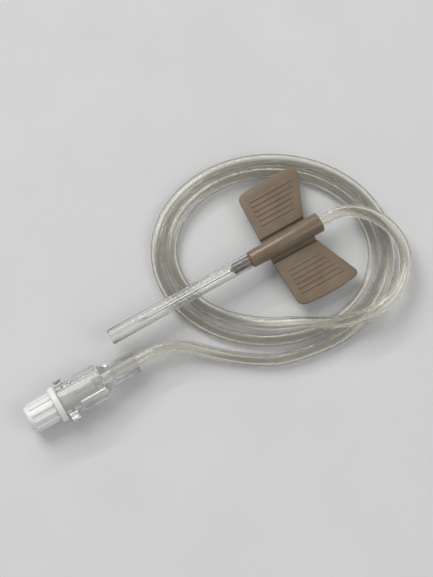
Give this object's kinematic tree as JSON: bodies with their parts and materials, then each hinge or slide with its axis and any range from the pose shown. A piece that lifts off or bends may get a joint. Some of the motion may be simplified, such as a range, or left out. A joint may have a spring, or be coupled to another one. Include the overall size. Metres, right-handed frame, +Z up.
{
  "type": "butterfly needle",
  "caption": "Winged steel needle in a clear sheath, on a flat coil of clear tubing that ends in a capped syringe connector; wings fold up, sheath and cap pull off.",
  "frame": {"origin": "on the flat underside of the hub, straight below the needle's axis and midway along the wings' roots: the face that lies on the skin", "axes": "+X along the needle towards its point, +Y towards the left wing, +Z up out of the skin"},
  "size_m": [0.0744, 0.0401, 0.0066],
  "materials": {
    "needle_steel": "bright drawn steel",
    "wing_plastic": "soft moulded plastic, taupe, slightly milky",
    "clear_tube": "clear soft plastic with a faint warm tint",
    "sheath_plastic": "clear, slightly milky",
    "connector_plastic": "clear moulded plastic",
    "cap_plastic": "white moulded plastic",
    "adhesive": "cured clear adhesive"
  },
  "bodies": {
    "hub_and_tubing": {"wing_hub": "wing_plastic", "needle_cannula": "needle_steel", "needle_bond_bead": "adhesive", "tubing_lead": "clear_tube", "tubing_coil": "clear_tube", "tubing_tail": "clear_tube", "connector_sleeve": "connector_plastic", "syringe_connector": "connector_plastic"},
    "left_wing": {"left_wing": "wing_plastic"},
    "right_wing": {"right_wing": "wing_plastic"},
    "needle_sheath": {"needle_sheath": "sheath_plastic"},
    "connector_cap": {"connector_cap": "cap_plastic"}
  },
  "joints": [
    {"name": "left_wing_fold", "type": "hinge", "parent": "hub_and_tubing", "child": "left_wing", "pos_m": [0, 0.00275, 0.0004], "axis": [1, 0, 0], "range_deg": [0, 100], "stiffness_Nm_per_rad": 0.0015},
    {"name": "right_wing_fold", "type": "hinge", "parent": "hub_and_tubing", "child": "right_wing", "pos_m": [0, -0.00275, 0.0004], "axis": [-1, 0, 0], "range_deg": [0, 100], "stiffness_Nm_per_rad": 0.0015},
    {"name": "sheath_pull", "type": "slide", "parent": "hub_and_tubing", "child": "needle_sheath", "axis": [1, 0, 0], "range_m": [0, 0.028]},
    {"name": "cap_pull", "type": "slide", "parent": "hub_and_tubing", "child": "connector_cap", "axis": [1, 0, 0], "range_m": [0, 0.012]}
  ]
}
